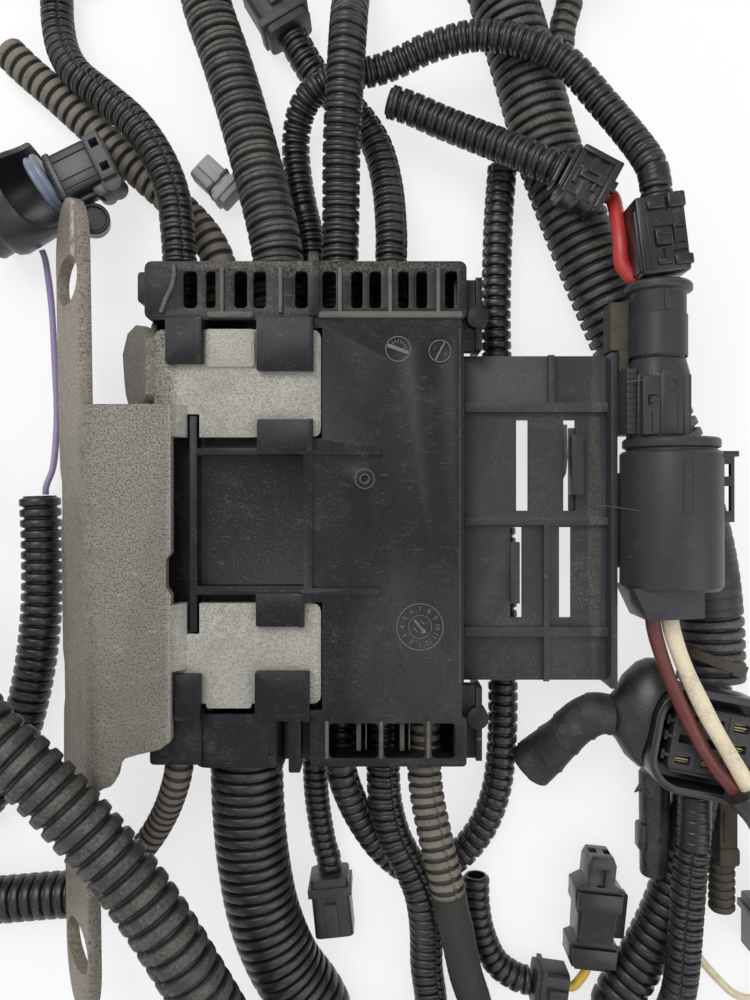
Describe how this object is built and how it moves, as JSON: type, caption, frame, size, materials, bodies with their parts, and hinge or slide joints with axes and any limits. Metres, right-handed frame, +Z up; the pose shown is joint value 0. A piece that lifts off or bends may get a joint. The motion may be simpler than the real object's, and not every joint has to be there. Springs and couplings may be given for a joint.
{
  "type": "wiring harness",
  "caption": "Section of a vehicle wiring harness: black plastic cable duct on a formed metal bracket, with corrugated branches, a connector holder and plugs.",
  "frame": {"origin": "centre of the duct's flat underside, near the middle of the duct", "axes": "+Z up out of the duct's cover, +Y along the duct, +X toward the connector holder"},
  "size_m": [0.3582, 0.4966, 0.0727],
  "materials": {
    "black_plastic": "moulded, dusty",
    "dark_plastic": "moulded",
    "conduit_black": "ribbed, satin",
    "tape_black": "wrapped tape",
    "bracket_steel": "thin grey-beige coating, worn",
    "rubber_grey": "satin",
    "grey_plastic": "satin",
    "wire_red": "wire insulation",
    "wire_cream": "wire insulation",
    "wire_brown": "wire insulation",
    "wire_purple": "wire insulation",
    "wire_yellow": "wire insulation"
  },
  "bodies": {
    "root": {"duct_base": "black_plastic", "duct_cover": "black_plastic", "barrel": "black_plastic", "socket_sleeve": "black_plastic", "clamp_arch": "black_plastic", "clamp_side": "black_plastic", "boot_shell": "black_plastic", "oval_shell": "black_plastic", "oval_boot": "black_plastic", "small_plug": "black_plastic", "thin_plug": "black_plastic", "plug_top_1": "black_plastic", "plug_top_3": "black_plastic", "plug_top_4": "black_plastic", "plug_trunk": "black_plastic", "plug_left_pair": "black_plastic", "plug_crossing_left": "black_plastic", "plug_crossing_front": "black_plastic", "plug_big": "black_plastic", "plug_bottom": "black_plastic", "plug_pair": "black_plastic", "plug_sleeve": "black_plastic", "socket_plug": "dark_plastic", "boot_plug": "dark_plastic", "oval_core": "dark_plastic", "end_cap": "dark_plastic", "box_plug": "dark_plastic", "bracket": "bracket_steel", "wire_loom": "tape_black", "boot_seal": "rubber_grey", "grey_plug": "grey_plastic", "conduit_top_1": "conduit_black", "conduit_top_2": "conduit_black", "conduit_top_3": "conduit_black", "conduit_top_4": "conduit_black", "conduit_top_5": "conduit_black", "conduit_arch": "conduit_black", "conduit_side": "conduit_black", "conduit_trunk": "conduit_black", "conduit_loop": "conduit_black", "conduit_thin_top": "conduit_black", "conduit_big": "conduit_black", "conduit_small_left": "conduit_black", "conduit_low_left": "conduit_black", "conduit_thin": "conduit_black", "conduit_bottom_1": "conduit_black", "conduit_bottom_2": "conduit_black", "conduit_bottom_3": "conduit_black", "conduit_crossing": "conduit_black", "conduit_left": "conduit_black", "conduit_pair_1": "conduit_black", "conduit_pair_2": "conduit_black", "branch_taped": "tape_black", "wire_red": "wire_red", "wire_cream": "wire_cream", "wire_brown": "wire_brown", "wire_purple": "wire_purple", "wire_pair": "wire_yellow", "wire_thin": "tape_black", "wire_sleeve": "tape_black"}
  },
  "joints": []
}
